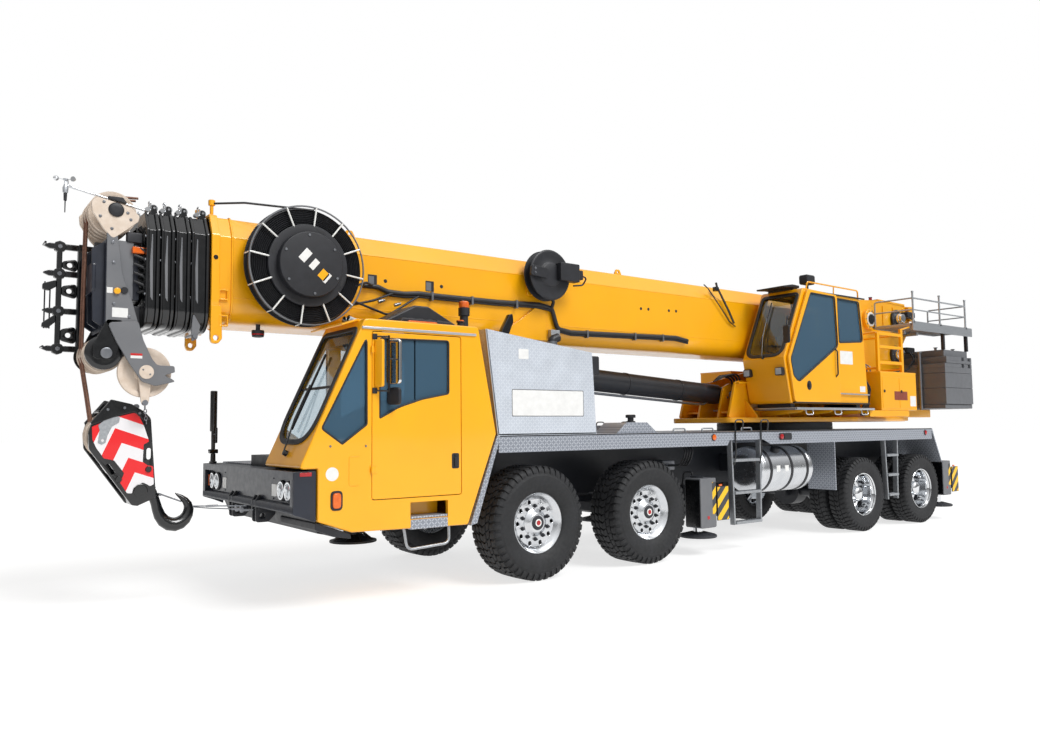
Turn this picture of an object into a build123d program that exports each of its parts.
# Truck-mounted telescopic crane, modelled at its real size in millimetres.
# +X points to the front bumper, +Y to the driver's side, +Z up. The tyres stand on Z = 0.
from build123d import *
from math import atan2, cos, degrees, pi, radians, sin
import os

os.makedirs("parts", exist_ok=True)

# Wheels and axles
AXLES = {"axle_1": 2680, "axle_2": 1100, "axle_3": -3260, "axle_4": -4870}
STEERED = ("axle_1", "axle_2")
FRONT_TYRE_RADIUS = 575
FRONT_TYRE_WIDTH = 445
FRONT_WHEEL_Y = 1048
REAR_TYRE_RADIUS = 528
REAR_TYRE_WIDTH = 280
TWIN_OUTER_Y = 1105
TWIN_SPACING = 318
TYRE_FACETS = 36
RIM_RADIUS = 303
BEAD_RADIUS = 286
BEAD_CLEARANCE = 0.3
KINGPIN_Y = 760
KINGPIN_RADIUS = 26
SPINDLE_RADIUS = 45
PIN_CLEARANCE = 0.5

# Carrier frame and deck
FRAME_HALF_WIDTH = 400
FRAME_BOTTOM = 760
FRAME_TOP = 1290
FRAME_FRONT = 5040
FRAME_REAR = -6060
FRAME_WALL = 16
DECK_TOP = 1456
DECK_PLATE = 16
DECK_HALF_WIDTH = 1280
DECK_FRONT = 3200
DECK_REAR = -5150
SKIRT_BOTTOM = 1290

# Outriggers
LEFT_BEAM_X = {"front": 120, "rear": -5670}
RIGHT_BEAM_X = {"front": -145, "rear": -5935}
BEAM_WIDTH = 170
BEAM_HEIGHT = 290
BEAM_BOTTOM = {"front": 470, "rear": 500}
BEAM_CLEARANCE = 6
BEAM_WALL = 14
JACK_BOX_INSET = 45
JACK_BOX_DEPTH = 255
JACK_BOX_OUTER = DECK_HALF_WIDTH - JACK_BOX_INSET
HOUSING_REACH = JACK_BOX_OUTER - JACK_BOX_DEPTH
FLOAT_RADIUS = 222
FLOAT_BOTTOM = 200

# Slewing ring and turntable
SLEW_X = -2870
RING_RADIUS = 848
RING_INNER = 690
RING_SPLIT = 1510
RING_TOP = 1570
RING_GAP = 0.5
TABLE_PLATE = 70
SIDE_PLATE_Y = 415
SIDE_PLATE_THICK = 45
BOOM_PIVOT_X = -4840
BOOM_PIVOT_Z = 3250
BOOM_PIN_RADIUS = 90

# Boom
BOOM_HALF_WIDTH = 400
BOOM_TOP = 3460
BOOM_BOTTOM = 2500
BOOM_TAIL = -5090
BOOM_FRONT = 5690
SECTION_STEP = 30
SECTION_WALL = 12
COLLARS = (5850, 5980, 6100, 6220)
COLLAR_BOTTOM = 2390
COLLAR_TOP = 3450

# Lift cylinder
CYLINDER_FOOT_X = -1640
CYLINDER_FOOT_Z = 1970
CYLINDER_EYE_X = 3260
CYLINDER_EYE_Z = 2280
BARREL_RADIUS = 140
ROD_RADIUS = 100

# Cabs
CAB_WALL = 40
CAB_INNER_Y = 440
CAB_OUTER_Y = DECK_HALF_WIDTH
CRANE_CAB_INNER_Y = 480
CRANE_CAB_OUTER_Y = 1200
DOOR_GAP = 6
GLASS = 8
CUT = 1


# Shape helpers: each adds to, or cuts from, the part being built. CUT is how far a cut runs past a face.
def block(x, y, z, mode=Mode.ADD):
    """A box between three (low, high) pairs."""
    centre = ((x[0] + x[1]) / 2, (y[0] + y[1]) / 2, (z[0] + z[1]) / 2)
    with Locations(centre):
        Box(x[1] - x[0], y[1] - y[0], z[1] - z[0], mode=mode)


def side_prism(points, y, mode=Mode.ADD, inset=0):
    """A side outline of (x, z) points, carried across from y[0] to y[1]."""
    with BuildSketch(Plane.XZ.offset(-y[1])) as profile:
        with BuildLine():
            Polyline(*points, close=True)
        make_face()
        if inset:
            offset(amount=-inset, mode=Mode.REPLACE)
    extrude(profile.sketch, amount=y[1] - y[0], mode=mode)


def plan_prism(points, z, mode=Mode.ADD):
    """A plan outline of (x, y) points, carried up from z[0] to z[1]."""
    with BuildSketch(Plane.XY.offset(z[0])) as profile:
        with BuildLine():
            Polyline(*points, close=True)
        make_face()
    extrude(profile.sketch, amount=z[1] - z[0], mode=mode)


def round_x(y, z, radius, x, mode=Mode.ADD):
    """A round bar along X."""
    with BuildSketch(Plane.YZ.offset(x[0])) as profile:
        with Locations((y, z)):
            Circle(radius)
    extrude(profile.sketch, amount=x[1] - x[0], mode=mode)


def round_y(x, z, radius, y, mode=Mode.ADD):
    """A round bar along Y."""
    with BuildSketch(Plane.XZ.offset(-y[1])) as profile:
        with Locations((x, z)):
            Circle(radius)
    extrude(profile.sketch, amount=y[1] - y[0], mode=mode)


def round_z(x, y, radius, z, mode=Mode.ADD):
    """A round bar along Z."""
    with BuildSketch(Plane.XY.offset(z[0])) as profile:
        with Locations((x, y)):
            Circle(radius)
    extrude(profile.sketch, amount=z[1] - z[0], mode=mode)


def bar(start, end, radius, mode=Mode.ADD):
    """A round bar from one (x, y, z) point to another."""
    run = Vector(*end) - Vector(*start)
    with BuildSketch(Plane(origin=start, z_dir=run)) as profile:
        Circle(radius)
    extrude(profile.sketch, amount=run.length, mode=mode)


def bent_bar(points, radius):
    """A round bar through several points, with a ball at each bend."""
    for start, end in zip(points, points[1:]):
        bar(start, end, radius)
    for bend in points[1:-1]:
        with Locations(bend):
            Sphere(radius)


def spin_y(x, z, points, mode=Mode.ADD):
    """A body of revolution about the Y axis through (x, z), from (y, radius) points."""
    with BuildSketch(Plane(origin=(x, 0, z), x_dir=(0, 1, 0), z_dir=(1, 0, 0))) as profile:
        with BuildLine():
            Polyline(*points, close=True)
        make_face()
    revolve(profile.sketch, axis=Axis((x, 0, z), (0, 1, 0)), mode=mode)


def facet_ring(x, z, outline):
    """A ring about the Y axis with flat facets, one of them lowest, from (y, distance to the facet) points."""
    half_turn = pi / TYRE_FACETS
    faces = []
    for near, far in zip(outline, (*outline[1:], outline[0])):
        for facet in range(TYRE_FACETS):
            corners = []
            for (y, reach), turn in ((near, -1), (near, 1), (far, 1), (far, -1)):
                angle = (2 * facet + turn) * half_turn
                radius = reach / cos(half_turn)
                corners.append((x + radius * sin(angle), y, z - radius * cos(angle)))
            faces.append(Face(Wire.make_polygon(corners)))
    add(Solid(Shell(faces)))


def sided(low, high, side):
    """A (low, high) pair of distances from the centre line, on the left (1) or right (-1)."""
    return (low, high) if side > 0 else (-high, -low)


def around(middle, half):
    """A (low, high) pair around a middle."""
    return (middle - half, middle + half)


def save(piece, name):
    """Label a finished piece and write it to its own file."""
    piece.part.label = name
    export_step(piece.part, f"parts/{name}.step")
    print(name, len(piece.part.solids()), "solids")


SIDES = {"left": 1, "right": -1}


# Carrier frame: a closed box with the outrigger housings, ring seat and front jack
FRONT_JACK_X = 4124
FRONT_JACK_PAD = 235
FRONT_JACK_BOTTOM = 395
FRONT_JACK_TUBE = 90
PAD_RIM = 18
PAD_CONE = 75
SLOT_HALF = BEAM_WIDTH / 2 + BEAM_CLEARANCE
HOUSING_HALF = SLOT_HALF + BEAM_WALL
HAZARD_BELOW = 75
HAZARD_ABOVE = 20
HAZARD_THICK = 12
GUIDE_HALF = 60
GUIDE_LENGTH = 100
GUIDE_FROM_ENDS = (120, 100)
SADDLE_HALF = (150, 300)
CAB_MOUNTS_X = (3650, 4700)
CAB_MOUNT_LENGTH = 120
CAB_MOUNT_Z = (820, 1120)


def housing_ends(side):
    """How far a housing runs in Y: open on its own side, closed on the other."""
    return sided(-JACK_BOX_OUTER, HOUSING_REACH, side)


with BuildPart() as chassis_frame:
    block((FRAME_REAR, FRAME_FRONT), (-FRAME_HALF_WIDTH, FRAME_HALF_WIDTH), (FRAME_BOTTOM, FRAME_TOP))
    block(
        (FRAME_REAR + FRAME_WALL, FRAME_FRONT - FRAME_WALL),
        (-FRAME_HALF_WIDTH + FRAME_WALL, FRAME_HALF_WIDTH - FRAME_WALL),
        (FRAME_BOTTOM + FRAME_WALL, FRAME_TOP - FRAME_WALL),
        mode=Mode.SUBTRACT,
    )
    round_z(SLEW_X, 0, RING_RADIUS, (FRAME_TOP - FRAME_WALL, RING_SPLIT))
    round_z(SLEW_X, 0, RING_INNER, (FRAME_TOP - FRAME_WALL, RING_SPLIT), mode=Mode.SUBTRACT)
    for end, low in BEAM_BOTTOM.items():
        for side, x in ((1, LEFT_BEAM_X[end]), (-1, RIGHT_BEAM_X[end])):
            tall = (low - BEAM_CLEARANCE - BEAM_WALL, low + BEAM_HEIGHT + BEAM_CLEARANCE + BEAM_WALL)
            block(around(x, HOUSING_HALF), housing_ends(side), tall)
            capped = sided(-JACK_BOX_OUTER, -JACK_BOX_OUTER + HAZARD_THICK, side)
            block(around(x, HOUSING_HALF), capped, (low - HAZARD_BELOW, tall[1] + HAZARD_ABOVE))
    for end, low in BEAM_BOTTOM.items():
        for side, x in ((1, LEFT_BEAM_X[end]), (-1, RIGHT_BEAM_X[end])):
            hollow = sided(-JACK_BOX_OUTER + HAZARD_THICK, HOUSING_REACH, side)
            void = (low - BEAM_CLEARANCE, low + BEAM_HEIGHT + BEAM_CLEARANCE)
            block(around(x, SLOT_HALF), hollow, void, mode=Mode.SUBTRACT)
            for near in (HOUSING_REACH - GUIDE_FROM_ENDS[0], -JACK_BOX_OUTER + GUIDE_FROM_ENDS[1]):
                guide = sided(near, near + GUIDE_LENGTH, side)
                block(around(x, GUIDE_HALF), guide, (low - BEAM_CLEARANCE, low - PIN_CLEARANCE))
        # Saddles carry the housings up to the frame where they pass below it
        middle = (LEFT_BEAM_X[end] + RIGHT_BEAM_X[end]) / 2
        saddle_top = FRAME_BOTTOM + FRAME_WALL
        saddle_foot = low + BEAM_HEIGHT + BEAM_CLEARANCE + BEAM_WALL
        if saddle_foot < saddle_top:
            block(around(middle, SADDLE_HALF[0]), around(0, SADDLE_HALF[1]), (saddle_foot - BEAM_WALL / 2, saddle_top))
    for x in CAB_MOUNTS_X:
        block((x, x + CAB_MOUNT_LENGTH), (FRAME_HALF_WIDTH, CAB_INNER_Y), CAB_MOUNT_Z)
    # Front jack: a tube down to a coned pad
    pad_top = FRONT_JACK_BOTTOM + PAD_CONE
    round_z(FRONT_JACK_X, 0, FRONT_JACK_TUBE, (pad_top, FRAME_BOTTOM + FRAME_WALL))
    round_z(FRONT_JACK_X, 0, FRONT_JACK_PAD, (FRONT_JACK_BOTTOM, FRONT_JACK_BOTTOM + PAD_RIM))
    with Locations((FRONT_JACK_X, 0, (FRONT_JACK_BOTTOM + PAD_RIM + pad_top) / 2)):
        Cone(FRONT_JACK_PAD - PAD_RIM, FRONT_JACK_TUBE, PAD_CONE - PAD_RIM)
save(chassis_frame, "chassis_frame")


# Axles: a beam or tube across, springs up to the frame, bosses for kingpins or spindles
SPRING_Y = (340, 420)
SPRING_REACH = 480
SPRING_Z = (660, 735)
HANGER_HALF = 40
SEAT_HALF = 70
BOSS_RADIUS = 52
BOSS_HALF = 75
BEAM_AXLE_HALF = (60, 50)
AXLE_TUBE_RADIUS = 82
GEAR_HOUSING = (215, 120)
PINION_NOSE = (90, 260)
DRUM_BACK_Y = 640
SPINDLE_INSET = 205

with BuildPart() as axle_beams:
    for name, x in AXLES.items():
        front = name in STEERED
        height = FRONT_TYRE_RADIUS if front else REAR_TYRE_RADIUS
        if front:
            across = around(0, KINGPIN_Y - HANGER_HALF)
            block(around(x, BEAM_AXLE_HALF[0]), across, around(height, BEAM_AXLE_HALF[1]))
            for side in SIDES.values():
                round_z(x, side * KINGPIN_Y, BOSS_RADIUS, around(height, BOSS_HALF))
        else:
            round_y(x, height, AXLE_TUBE_RADIUS, around(0, DRUM_BACK_Y))
            round_y(x, height, SPINDLE_RADIUS, around(0, TWIN_OUTER_Y - SPINDLE_INSET))
            for radius, half in (GEAR_HOUSING, PINION_NOSE):
                round_x(0, height, radius, around(x, half))
        for side in SIDES.values():
            y = sided(*SPRING_Y, side)
            block(around(x, SPRING_REACH), y, SPRING_Z)
            block(around(x, SEAT_HALF), y, (height, SPRING_Z[0]))
            for end in (-1, 1):
                hanger = x + end * (SPRING_REACH - HANGER_HALF)
                block(around(hanger, HANGER_HALF), y, (SPRING_Z[1], FRAME_BOTTOM))
    for name in STEERED:
        for side in SIDES.values():
            bore = around(FRONT_TYRE_RADIUS, BOSS_HALF + CUT)
            round_z(AXLES[name], side * KINGPIN_Y, KINGPIN_RADIUS, bore, mode=Mode.SUBTRACT)
save(axle_beams, "axle_beams")


# Steering knuckles: two ears round the boss, a kingpin through it, and a stub axle outwards
EAR_THICK = 35
EAR_HALF = 45
EAR_REACH = 850
FLANGE_Y = (820, 855)
FLANGE_HALF = (60, 115)
BACK_PLATE_Y = (852, 875)
BACK_PLATE_RADIUS = 205
PIN_IN_EARS = 5
STUB_REACH = FRONT_WHEEL_Y + 30

for name in STEERED:
    for word, side in SIDES.items():
        x = AXLES[name]
        z = FRONT_TYRE_RADIUS
        with BuildPart() as knuckle:
            for up in (-1, 1):
                near = BOSS_HALF + PIN_CLEARANCE
                ears = sorted((z + up * near, z + up * (near + EAR_THICK)))
                round_z(x, side * KINGPIN_Y, BOSS_RADIUS, ears)
                block(around(x, EAR_HALF), sided(KINGPIN_Y, EAR_REACH, side), ears)
            round_z(x, side * KINGPIN_Y, KINGPIN_RADIUS - PIN_CLEARANCE, around(z, BOSS_HALF + PIN_IN_EARS))
            block(around(x, FLANGE_HALF[0]), sided(*FLANGE_Y, side), around(z, FLANGE_HALF[1]))
            round_y(x, z, BACK_PLATE_RADIUS, sided(*BACK_PLATE_Y, side))
            round_y(x, z, SPINDLE_RADIUS, sided(EAR_REACH, STUB_REACH, side))
        save(knuckle, f"steering_knuckle_{name[-1]}_{word}")


# Wheels: faceted tyres on round rims
SHOULDER = 0.86
BULGE = 0.76
BEAD_SEAT = 0.62
BARREL_WALL = 16
FLANGE_THICK = 14
FRONT_BARREL_HALF = 166
TWIN_BARREL_HALF = 115
DISC_THICK = 18
FRONT_DISC_Y = 94
HUB_RADIUS = 115
HAND_HOLES = (10, 205, 24)
DISC_RADIUS = {True: 275, False: 245}
FRONT_HUB_Y = (-60, 150)
TWIN_SEAT = 140
TWIN_HUB_Y = (-330, 60)
CONE_LIP = 20
WHEEL_BORE_FROM = 500
TWIN_BORE_END = 195


def tyre_ring(x, z, middle, width, radius):
    """A tyre: bead, bulging sides and a flat tread, as one faceted ring."""
    half = width / 2
    bead = BEAD_RADIUS + BEAD_CLEARANCE
    facet_ring(
        x,
        z,
        (
            (middle - half * BEAD_SEAT, bead),
            (middle - half, radius * BULGE),
            (middle - half * SHOULDER, radius),
            (middle + half * SHOULDER, radius),
            (middle + half, radius * BULGE),
            (middle + half * BEAD_SEAT, bead),
        ),
    )


def barrel(x, z, low, high):
    """The drum-shaped part of a rim, with a flange at each end."""
    bore = BEAD_RADIUS - BARREL_WALL
    spin_y(x, z, ((low, bore), (low, BEAD_RADIUS), (high, BEAD_RADIUS), (high, bore)))
    for start in (low, high - FLANGE_THICK):
        end = start + FLANGE_THICK
        spin_y(x, z, ((start, bore), (start, RIM_RADIUS), (end, RIM_RADIUS), (end, bore)))


for name, x in AXLES.items():
    front = name in STEERED
    for word, side in SIDES.items():
        z = FRONT_TYRE_RADIUS if front else REAR_TYRE_RADIUS
        with BuildPart() as tyre:
            if front:
                tyre_ring(x, z, side * FRONT_WHEEL_Y, FRONT_TYRE_WIDTH, FRONT_TYRE_RADIUS)
            else:
                for middle in (TWIN_OUTER_Y, TWIN_OUTER_Y - TWIN_SPACING):
                    tyre_ring(x, z, side * middle, REAR_TYRE_WIDTH, REAR_TYRE_RADIUS)
        save(tyre, f"tyre_{name[-1]}_{word}")
        with BuildPart() as rim:
            if front:
                barrel(x, z, *sided(*around(FRONT_WHEEL_Y, FRONT_BARREL_HALF), side))
                disc_low = FRONT_WHEEL_Y + FRONT_DISC_Y
                disc = sided(disc_low, disc_low + DISC_THICK, side)
                hub = sided(FRONT_WHEEL_Y + FRONT_HUB_Y[0], FRONT_WHEEL_Y + FRONT_HUB_Y[1], side)
                bore_end = STUB_REACH + 2 * CUT
            else:
                seat = TWIN_OUTER_Y - TWIN_SEAT
                for middle, toward in ((TWIN_OUTER_Y, 1), (TWIN_OUTER_Y - TWIN_SPACING, -1)):
                    barrel(x, z, *sided(*around(middle, TWIN_BARREL_HALF), side))
                    lip = middle - toward * TWIN_BARREL_HALF
                    cone = (
                        (seat, DISC_RADIUS[front] - 5), (lip, BEAD_RADIUS - 1),
                        (lip + toward * CONE_LIP, BEAD_RADIUS - BARREL_WALL), (seat + toward * 12, DISC_RADIUS[front] - 20),
                    )
                    spin_y(x, z, tuple((side * across, radius) for across, radius in cone))
                disc = sided(*around(seat, DISC_THICK), side)
                hub = sided(TWIN_OUTER_Y + TWIN_HUB_Y[0], TWIN_OUTER_Y + TWIN_HUB_Y[1], side)
                bore_end = TWIN_OUTER_Y - TWIN_BORE_END
            round_y(x, z, DISC_RADIUS[front], disc)
            round_y(x, z, HUB_RADIUS, hub)
            count, place, radius = HAND_HOLES
            with Locations(Plane(origin=(x, disc[0], z), x_dir=(1, 0, 0), z_dir=(0, 1, 0))):
                with PolarLocations(place, count):
                    Cylinder(
                        radius,
                        disc[1] - disc[0],
                        align=(Align.CENTER, Align.CENTER, Align.MIN),
                        mode=Mode.SUBTRACT,
                    )
            bore = sided(WHEEL_BORE_FROM, bore_end, side)
            round_y(x, z, SPINDLE_RADIUS + PIN_CLEARANCE, bore, mode=Mode.SUBTRACT)
        save(rim, f"rim_{name[-1]}_{word}")


# Deck: the top plate with its side skirts, the wheel guards and the tool boxes on it
SKIRT = 14
RING_HOLE_GAP = 5
BEARER_GAP = 900
REAR_GUARD = ((-5420, 920), (-5440, 920), (-5170, DECK_TOP))
REAR_GUARD_EDGE = 20
FENDER_FOOT_X = 3460
FENDER_FOOT_Z = 640
FENDER_WIDTH = 70
FLAP_X = (-2480, -2465)
FLAP_Y = (850, DECK_HALF_WIDTH)
FLAP_BOTTOM = 630
HUMP_X = (970, 1610)
HUMP_SLOPE = 160
HUMP_TOP = 1577
HUMP_Y = (880, DECK_HALF_WIDTH - 40)
STEP_NOTCH = ((-200, SKIRT_BOTTOM - CUT), (-240, 1352), (-900, 1352), (-1060, SKIRT_BOTTOM - CUT))
LOW_DECK_REAR = DECK_FRONT - 20
LOW_DECK_FRONT = 5050
LOW_DECK_Z = (1180, 1200)
LOW_DECK_SKIRT = 900
BOX_Y = (-DECK_HALF_WIDTH + 10, -560)
TALL_BOX_X = (1980, 3150)
TALL_BOX_TOP = 1860
LOW_BOX_X = (-900, 800)
LOW_BOX_Y = (-DECK_HALF_WIDTH + 10, -760)
LOW_BOX_TOP = 1550

with BuildPart() as deck:
    plate = (DECK_TOP - DECK_PLATE, DECK_TOP)
    block((DECK_REAR, DECK_FRONT), around(0, DECK_HALF_WIDTH), plate)
    round_z(SLEW_X, 0, RING_RADIUS + RING_HOLE_GAP, plate, mode=Mode.SUBTRACT)
    for side in SIDES.values():
        edge = sided(DECK_HALF_WIDTH - SKIRT, DECK_HALF_WIDTH, side)
        block((DECK_REAR, DECK_FRONT), edge, (SKIRT_BOTTOM, DECK_TOP))
        bearer = sided(FRAME_HALF_WIDTH - SKIRT, FRAME_HALF_WIDTH, side)
        for low, high in ((DECK_REAR, SLEW_X - BEARER_GAP), (SLEW_X + BEARER_GAP, DECK_FRONT)):
            block((low, high), bearer, (FRAME_TOP, DECK_TOP - DECK_PLATE))
        rear = ((DECK_REAR, DECK_TOP), (DECK_REAR, DECK_TOP - REAR_GUARD_EDGE), *REAR_GUARD)
        side_prism(rear, sided(CAB_INNER_Y, DECK_HALF_WIDTH, side))
        fender = (
            (DECK_FRONT, DECK_TOP), (DECK_FRONT, DECK_TOP - 60), (FENDER_FOOT_X, FENDER_FOOT_Z),
            (FENDER_FOOT_X + FENDER_WIDTH, FENDER_FOOT_Z - 20), (DECK_FRONT + 15, DECK_TOP),
        )
        side_prism(fender, sided(DECK_HALF_WIDTH - FENDER_WIDTH, DECK_HALF_WIDTH, side))
        block(FLAP_X, sided(*FLAP_Y, side), (FLAP_BOTTOM, DECK_TOP - DECK_PLATE))
        notch = sided(DECK_HALF_WIDTH - SKIRT - CUT, DECK_HALF_WIDTH + CUT, side)
        side_prism(STEP_NOTCH, notch, mode=Mode.SUBTRACT)
    hump = ((HUMP_X[0], DECK_TOP), (HUMP_X[0] + HUMP_SLOPE, HUMP_TOP), (HUMP_X[1] - HUMP_SLOPE, HUMP_TOP), (HUMP_X[1], DECK_TOP))
    side_prism(hump, HUMP_Y)
    # Low deck beside and before the cab, level with the bumper's top
    beside_cab = (-DECK_HALF_WIDTH, -FRAME_HALF_WIDTH)
    block((LOW_DECK_REAR, LOW_DECK_FRONT), beside_cab, LOW_DECK_Z)
    block((LOW_DECK_REAR, DECK_FRONT), beside_cab, (LOW_DECK_Z[0], DECK_TOP))
    edge = (-DECK_HALF_WIDTH, -DECK_HALF_WIDTH + SKIRT)
    block((DECK_FRONT, LOW_DECK_FRONT), edge, (LOW_DECK_SKIRT, LOW_DECK_Z[1]))
    # Tool boxes on the right-hand side
    block(TALL_BOX_X, BOX_Y, (DECK_TOP, TALL_BOX_TOP))
    block(LOW_BOX_X, LOW_BOX_Y, (DECK_TOP, LOW_BOX_TOP))
save(deck, "deck")


# Steps and ladders: rungs between side rails, hung from the deck and the skirts
LADDERS = (
    # low x, high x, low z, rungs
    (-895, -300, 320, 3),
    (-4190, -3810, 400, 3),
)
LADDER_Y = (DECK_HALF_WIDTH - 105, DECK_HALF_WIDTH - 25)
RAIL_WIDTH = 25
RUNG_HEIGHT = 30

with BuildPart() as ladders:
    for low, high, bottom, rungs in LADDERS:
        for side in SIDES.values():
            y = sided(*LADDER_Y, side)
            for x in (low, high - RAIL_WIDTH):
                block((x, x + RAIL_WIDTH), y, (bottom, DECK_TOP - DECK_PLATE))
            for rung in range(rungs):
                z = bottom + rung * (SKIRT_BOTTOM - bottom) / rungs
                block((low, high), y, (z, z + RUNG_HEIGHT))
save(ladders, "ladders")


# Fuel tank on the left and air tanks' box on the right, each on two brackets from the frame
TANK_RADIUS = 300
TANK_X = (-2060, -900)
TANK_Z = 955
TANK_Y = DECK_HALF_WIDTH - 335
STRAPS_X = (-1900, -1560, -1120)
STRAP_WIDTH = 45
STRAP_THICK = 5
TANK_BOX_Y = (-DECK_HALF_WIDTH + 30, -660)
TANK_BOX_Z = (650, 1270)
BRACKETS_X = (-1850, -1150)
BRACKET_WIDTH = 60
BRACKET_Z = (TANK_Z - 40, TANK_Z + 200)

with BuildPart() as side_tanks:
    round_x(TANK_Y, TANK_Z, TANK_RADIUS, TANK_X)
    for x in STRAPS_X:
        round_x(TANK_Y, TANK_Z, TANK_RADIUS + STRAP_THICK, (x, x + STRAP_WIDTH))
    block(TANK_X, TANK_BOX_Y, TANK_BOX_Z)
    for x in BRACKETS_X:
        for inner in ((FRAME_HALF_WIDTH, TANK_Y - TANK_RADIUS * 2 / 3), (TANK_BOX_Y[1] - 10, -FRAME_HALF_WIDTH)):
            block((x, x + BRACKET_WIDTH), inner, BRACKET_Z)
save(side_tanks, "side_tanks")


# Front bumper: a deep beam with a recessed lamp panel, lamps and tow lugs
BUMPER_X = (5060, 5260)
BUMPER_Z = (843, 1187)
BUMPER_HALF_WIDTH = DECK_HALF_WIDTH - 10
PANEL_DEPTH = 55
PANEL_Z = (BUMPER_Z[0] + 60, BUMPER_Z[1] - 62)
BUMPER_CHEEK = 75
LAMP_Y = (BUMPER_HALF_WIDTH - 370, BUMPER_HALF_WIDTH - 210)
LAMP_Z = 1015
LAMP_RADIUS = 78
LAMP_STANDS = 30
TOW_LUG_Y = 330
TOW_LUG_HALF = (45, 12)
TOW_LUG = (
    (5070, BUMPER_Z[0]), (5070, 770), (5140, 702), (5255, 702), (5259, 900), (5225, 955), (5195, 900), (5195, BUMPER_Z[0]),
)
TOW_HOLE = (5195, 760, 26)
APRON = ((5100, BUMPER_Z[0]), (5015, 650), (4765, 596), (4765, 612), (5005, 668), (5085, BUMPER_Z[0]))
APRON_HALF = BUMPER_HALF_WIDTH - 120
BUMPER_STAY_Y = (280, 380)
BUMPER_STAY_Z = (860, 1150)
POST_X = 5170
POST_Y = -BUMPER_HALF_WIDTH + 45
POST_STEPS = ((22, BUMPER_Z[1], 1523), (36, 1523, 1960))
POST_MIRROR = (POST_Y + 165, 1450, 60)

with BuildPart() as front_bumper:
    block(BUMPER_X, around(0, BUMPER_HALF_WIDTH), BUMPER_Z)
    recess = (BUMPER_X[1] - PANEL_DEPTH, BUMPER_X[1])
    block(recess, around(0, BUMPER_HALF_WIDTH - BUMPER_CHEEK), PANEL_Z, mode=Mode.SUBTRACT)
    for side in SIDES.values():
        for y in LAMP_Y:
            round_x(side * y, LAMP_Z, LAMP_RADIUS, (recess[0] - CUT, recess[0] + LAMP_STANDS))
        cheek = ((BUMPER_X[0], BUMPER_Z[0]), (BUMPER_X[0], 765), (5150, 800), (BUMPER_X[1], 838), (BUMPER_X[1], BUMPER_Z[0]))
        side_prism(cheek, sided(BUMPER_HALF_WIDTH - BUMPER_CHEEK, BUMPER_HALF_WIDTH, side))
        for shift in (-TOW_LUG_HALF[0], TOW_LUG_HALF[0]):
            y = side * TOW_LUG_Y + shift
            side_prism(TOW_LUG, around(y, TOW_LUG_HALF[1]))
            round_y(*TOW_HOLE, around(y, TOW_LUG_HALF[1] + CUT), mode=Mode.SUBTRACT)
        block((FRAME_FRONT, BUMPER_X[0]), sided(*BUMPER_STAY_Y, side), BUMPER_STAY_Z)
    side_prism(APRON, around(0, APRON_HALF))
    # Right-hand mirror post with its small mirror
    for radius, low, high in POST_STEPS:
        round_z(POST_X, POST_Y, radius, (low, high))
    round_y(POST_X, POST_MIRROR[1], 10, (POST_Y, POST_MIRROR[0] - POST_MIRROR[2] / 2))
    round_x(POST_MIRROR[0] - POST_MIRROR[2] / 2, POST_MIRROR[1], POST_MIRROR[2], around(POST_X, 12))
save(front_bumper, "front_bumper")


# Carrier cab: a hollow shell to the left of the boom, with its windows and door cut out
CAB_BROW = (5214, 1229)
CAB_ROOF_FRONT = (4624, 2504)
CAB_SIDE = (
    (5050, 767), (4740, 656), (3560, 631), (3230, 1475), (3430, 2503),
    CAB_ROOF_FRONT, CAB_BROW, (5214, 1205), (5050, 1205),
)
CAB_DOOR = ((3630, 915), (4560, 915), (4560, 2395), (3630, 2395))
DOOR_WINDOW = ((4480, 2347), (3770, 2347), (3770, 1862), (4050, 1803), (4290, 1728), (4475, 1622))
QUARTER_WINDOW = ((4607, 2335), (4604, 1573), (4833, 1408), (5020, 1541))
WINDSHIELD_Y = (CAB_INNER_Y + 65, CAB_OUTER_Y - 65)
WINDSHIELD_RISE = (230, 1300)
WINDSHIELD_CORNERS = (240, 70)
WINDSHIELD_CUT = 70
GLASS_DEPTH = 12
SIDE_GLASS_DEPTH = 16
CAB_FLOOR = 900
HINGE_Z = (1150, 2200)
HINGE_RADIUS = 12
HINGE_HALF = 60
HINGE_LEAF = 40
HINGE_X = CAB_DOOR[1][0]
HINGE_Y = CAB_OUTER_Y + HINGE_RADIUS + 1
STEP_WELL_X = (3783, 4176)
STEP_WELL_Z = (725, 875)
STEP_WELL_DEPTH = 190
SHEET = 8
LOOP_STEP = ((3744, 690), (3752, 590), (3812, 462), (4150, 462), (4215, 590), (4222, 690))
LOOP_STEP_Y = CAB_OUTER_Y - 30
LOOP_STEP_RADIUS = 14
ROOF_UNIT = ((3560, 2500), (3620, 2588), (4130, 2588), (4230, 2500))
ROOF_UNIT_Y = (560, 1060)
CAB_BEACON = (3460, 1000, 32, 2600)
GUTTER_X = (3465, 4655)
GUTTER_Z = (2408, 2432)
GUTTER_STANDS = 14

rake_up = Vector(CAB_ROOF_FRONT[0] - CAB_BROW[0], 0, CAB_ROOF_FRONT[1] - CAB_BROW[1]).normalized()
rake_out = Vector(rake_up.Z, 0, -rake_up.X)


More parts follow.
